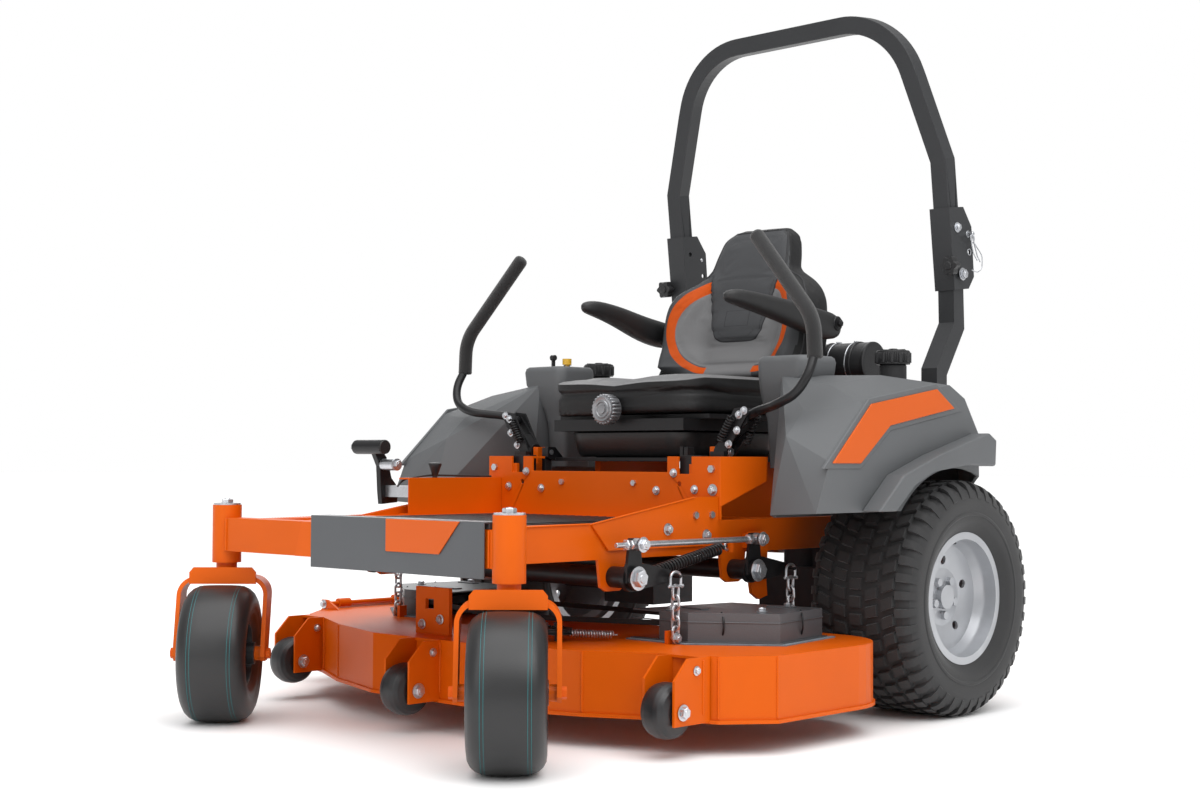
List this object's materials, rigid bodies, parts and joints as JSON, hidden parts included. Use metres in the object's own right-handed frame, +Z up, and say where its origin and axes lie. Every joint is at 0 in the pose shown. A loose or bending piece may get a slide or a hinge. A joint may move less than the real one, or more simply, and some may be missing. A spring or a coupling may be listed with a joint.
{
  "type": "zero turn mower",
  "caption": "Ride-on mower with two swivelling casters, two drive wheels, a wide side-discharge deck, sprung seat, steering levers and folding roll hoop.",
  "frame": {"origin": "middle of the footprint on the ground", "axes": "+Z up, -Y towards the front casters, +X towards the operator's left"},
  "size_m": [1.7511, 2.0725, 1.9074],
  "materials": {
    "orange_paint": "gloss powder coat",
    "charcoal_steel": "satin powder coat",
    "charcoal_plastic": "fine textured moulding",
    "orange_trim": "gloss moulding",
    "tank_plastic": "matte",
    "engine_metal": "cast",
    "black_plastic": "satin",
    "muffler_steel": "dull",
    "dark_cast": "painted cast",
    "zinc_steel": "zinc plated",
    "tyre_rubber": "matte rubber",
    "rim_silver": "silver paint",
    "rim_black": "satin",
    "black_steel": "satin powder coat",
    "seat_vinyl": "grained vinyl",
    "soft_black": "soft grip",
    "knob_metal": "brushed",
    "belt_rubber": "matte",
    "roller_plastic": "satin",
    "knob_yellow": "gloss"
  },
  "bodies": {
    "frame": {"main_frame": "orange_paint", "front_beam": "orange_paint", "beam_cover": "charcoal_steel", "control_plate": "orange_paint", "floor_pan": "orange_paint", "fender_left": "charcoal_plastic", "fender_right": "charcoal_plastic", "flares": "charcoal_plastic", "trim_panels": "orange_trim", "consoles": "charcoal_plastic", "fuel_tanks": "tank_plastic", "engine_block": "engine_metal", "engine_shroud": "black_plastic", "muffler": "muffler_steel", "transaxles": "dark_cast", "rops_posts": "charcoal_steel", "frame_bolts": "zinc_steel", "lift_springs": "black_steel"},
    "wheel_rear_left": {"tyre_rear_left": "tyre_rubber", "rim_rear_left": "rim_silver"},
    "wheel_rear_right": {"tyre_rear_right": "tyre_rubber", "rim_rear_right": "rim_silver"},
    "caster_left": {"fork_left": "orange_paint"},
    "caster_right": {"fork_right": "orange_paint"},
    "wheel_front_left": {"tyre_front_left": "tyre_rubber", "rim_front_left": "rim_black"},
    "wheel_front_right": {"tyre_front_right": "tyre_rubber", "rim_front_right": "rim_black"},
    "lever_base_left": {"lever_base_left": "black_steel"},
    "lever_base_right": {"lever_base_right": "black_steel"},
    "lever_left": {"lever_left": "black_steel"},
    "lever_right": {"lever_right": "black_steel"},
    "seat_base": {"seat_platform": "black_steel"},
    "seat": {"seat_suspension": "black_steel", "seat_cushion": "seat_vinyl", "seat_back": "seat_vinyl"},
    "seat_knob": {"seat_knob": "knob_metal"},
    "armrest_left": {"armrest_left": "soft_black"},
    "armrest_right": {"armrest_right": "soft_black"},
    "roll_hoop": {"rops_hoop": "charcoal_steel"},
    "deck": {"deck_shell": "orange_paint", "belt_covers": "charcoal_steel", "deck_belt": "belt_rubber", "spindles": "dark_cast", "lift_chains": "zinc_steel"},
    "blade_left": {"blade_left": "dark_cast"},
    "blade_center": {"blade_center": "dark_cast"},
    "blade_right": {"blade_right": "dark_cast"},
    "roller_left": {"roller_left": "roller_plastic"},
    "roller_center": {"roller_center": "roller_plastic"},
    "roller_right": {"roller_right": "roller_plastic"},
    "chute": {"chute": "orange_paint"},
    "lift_shaft_front": {"lift_shaft_front": "black_steel"},
    "lift_shaft_rear": {"lift_shaft_rear": "black_steel"},
    "lift_rod": {"lift_rod": "zinc_steel"},
    "lift_pedal": {"lift_pedal": "black_steel"},
    "fuel_cap_left": {"fuel_cap_left": "black_plastic"},
    "fuel_cap_right": {"fuel_cap_right": "black_plastic"},
    "throttle": {"throttle_lever": "black_plastic"},
    "pto_knob": {"pto_knob": "knob_yellow"}
  },
  "joints": [
    {"name": "rear_wheel_left_spin", "type": "hinge", "parent": "frame", "child": "wheel_rear_left", "pos_m": [0.72114, 0.47085, 0.2925], "axis": [1, 0, 0], "continuous": true},
    {"name": "rear_wheel_right_spin", "type": "hinge", "parent": "frame", "child": "wheel_rear_right", "pos_m": [-0.57286, 0.47085, 0.2925], "axis": [1, 0, 0], "continuous": true},
    {"name": "caster_left_swivel", "type": "hinge", "parent": "frame", "child": "caster_left", "pos_m": [0.57514, -0.82915, 0.44], "axis": [0, 0, 1], "continuous": true},
    {"name": "caster_left_spin", "type": "hinge", "parent": "caster_left", "child": "wheel_front_left", "pos_m": [0.62111, -0.87511, 0.163], "axis": [0.7071, 0.7071, 0], "continuous": true},
    {"name": "caster_right_swivel", "type": "hinge", "parent": "frame", "child": "caster_right", "pos_m": [-0.42686, -0.82915, 0.44], "axis": [0, 0, 1], "continuous": true},
    {"name": "caster_right_spin", "type": "hinge", "parent": "caster_right", "child": "wheel_front_right", "pos_m": [-0.38089, -0.87511, 0.163], "axis": [0.7071, 0.7071, 0], "continuous": true},
    {"name": "lever_left_drive", "type": "hinge", "parent": "frame", "child": "lever_base_left", "pos_m": [0.41414, 0.05785, 0.652], "axis": [1, 0, 0], "range_deg": [-10, 15], "stiffness_Nm_per_rad": 150},
    {"name": "lever_left_swing", "type": "hinge", "parent": "lever_base_left", "child": "lever_left", "pos_m": [0.48614, 0.05785, 0.74], "axis": [0, 1, 0], "range_deg": [-22, 0]},
    {"name": "lever_right_drive", "type": "hinge", "parent": "frame", "child": "lever_base_right", "pos_m": [-0.26586, 0.05785, 0.652], "axis": [1, 0, 0], "range_deg": [-10, 15], "stiffness_Nm_per_rad": 150},
    {"name": "lever_right_swing", "type": "hinge", "parent": "lever_base_right", "child": "lever_right", "pos_m": [-0.33786, 0.05785, 0.74], "axis": [0, -1, 0], "range_deg": [-22, 0]},
    {"name": "seat_tilt", "type": "hinge", "parent": "frame", "child": "seat_base", "pos_m": [0.07414, 0.02585, 0.652], "axis": [1, 0, 0], "range_deg": [0, 60]},
    {"name": "seat_suspension", "type": "slide", "parent": "seat_base", "child": "seat", "axis": [0, 0, 1], "range_m": [-0.06, 0], "stiffness_N_per_m": 2000, "springref_m": 0.15},
    {"name": "seat_knob_turn", "type": "hinge", "parent": "seat", "child": "seat_knob", "pos_m": [0.07414, -0.00915, 0.763], "axis": [0, 1, 0], "continuous": true},
    {"name": "armrest_left_lift", "type": "hinge", "parent": "seat", "child": "armrest_left", "pos_m": [0.37414, 0.56585, 1.005], "axis": [-1, 0, 0], "range_deg": [0, 75]},
    {"name": "armrest_right_lift", "type": "hinge", "parent": "seat", "child": "armrest_right", "pos_m": [-0.22586, 0.56585, 1.005], "axis": [-1, 0, 0], "range_deg": [0, 75]},
    {"name": "roll_hoop_fold", "type": "hinge", "parent": "frame", "child": "roll_hoop", "pos_m": [0.07414, 0.87085, 1.15], "axis": [-1, 0, 0], "range_deg": [0, 100]},
    {"name": "deck_lift", "type": "slide", "parent": "frame", "child": "deck", "axis": [0, 0, 1], "range_m": [-0.035, 0.05]},
    {"name": "lift_shaft_front_turn", "type": "hinge", "parent": "frame", "child": "lift_shaft_front", "pos_m": [0.07414, -0.40915, 0.367], "axis": [1, 0, 0], "range_deg": [-17.01, 24.17], "deforming": ["lift_springs"]},
    {"name": "lift_shaft_rear_turn", "type": "hinge", "parent": "frame", "child": "lift_shaft_rear", "pos_m": [0.07414, 0.02085, 0.367], "axis": [1, 0, 0], "range_deg": [-17.01, 24.17]},
    {"name": "lift_rod_swing", "type": "hinge", "parent": "lift_shaft_rear", "child": "lift_rod", "pos_m": [0.55014, 0.02085, 0.443], "axis": [1, 0, 0], "range_deg": [-24.17, 17.01]},
    {"name": "lift_pedal_turn", "type": "hinge", "parent": "frame", "child": "lift_pedal", "pos_m": [-0.40786, -0.33915, 0.547], "axis": [1, 0, 0], "range_deg": [-14.34, 20.35]},
    {"name": "blade_left_spin", "type": "hinge", "parent": "deck", "child": "blade_left", "pos_m": [0.57914, -0.12915, 0.15], "axis": [0, 0, 1], "continuous": true},
    {"name": "blade_center_spin", "type": "hinge", "parent": "deck", "child": "blade_center", "pos_m": [0.07414, -0.31915, 0.15], "axis": [0, 0, 1], "continuous": true},
    {"name": "blade_right_spin", "type": "hinge", "parent": "deck", "child": "blade_right", "pos_m": [-0.43086, -0.12915, 0.15], "axis": [0, 0, 1], "continuous": true},
    {"name": "roller_left_spin", "type": "hinge", "parent": "deck", "child": "roller_left", "pos_m": [0.72914, -0.51415, 0.102], "axis": [1, 0, 0], "continuous": true},
    {"name": "roller_center_spin", "type": "hinge", "parent": "deck", "child": "roller_center", "pos_m": [0.07414, -0.68115, 0.102], "axis": [1, 0, 0], "continuous": true},
    {"name": "roller_right_spin", "type": "hinge", "parent": "deck", "child": "roller_right", "pos_m": [-0.58086, -0.51415, 0.102], "axis": [1, 0, 0], "continuous": true},
    {"name": "chute_hinge", "type": "hinge", "parent": "deck", "child": "chute", "pos_m": [-0.73086, -0.12915, 0.227], "axis": [0, 1, 0], "range_deg": [0, 80]},
    {"name": "fuel_cap_left_turn", "type": "hinge", "parent": "frame", "child": "fuel_cap_left", "pos_m": [0.60414, 0.52085, 0.9], "axis": [0, 0, 1], "range_deg": [0, 120]},
    {"name": "fuel_cap_right_turn", "type": "hinge", "parent": "frame", "child": "fuel_cap_right", "pos_m": [-0.45586, 0.52085, 0.9], "axis": [0, 0, 1], "range_deg": [0, 120]},
    {"name": "throttle_turn", "type": "hinge", "parent": "frame", "child": "throttle", "pos_m": [-0.37086, 0.24085, 0.866], "axis": [1, 0, 0], "range_deg": [-20, 20]},
    {"name": "pto_pull", "type": "slide", "parent": "frame", "child": "pto_knob", "axis": [0, 0, 1], "range_m": [0, 0.012]}
  ],
  "couplings": [
    {"joint": "lift_shaft_front_turn", "follows": "deck_lift", "rad_per_m": 8.3333},
    {"joint": "lift_shaft_rear_turn", "follows": "deck_lift", "rad_per_m": 8.3333},
    {"joint": "lift_rod_swing", "follows": "deck_lift", "rad_per_m": -8.3333},
    {"joint": "lift_pedal_turn", "follows": "deck_lift", "rad_per_m": 7},
    {"joint": "blade_left_spin", "follows": "blade_center_spin", "ratio": 1},
    {"joint": "blade_right_spin", "follows": "blade_center_spin", "ratio": 1}
  ]
}
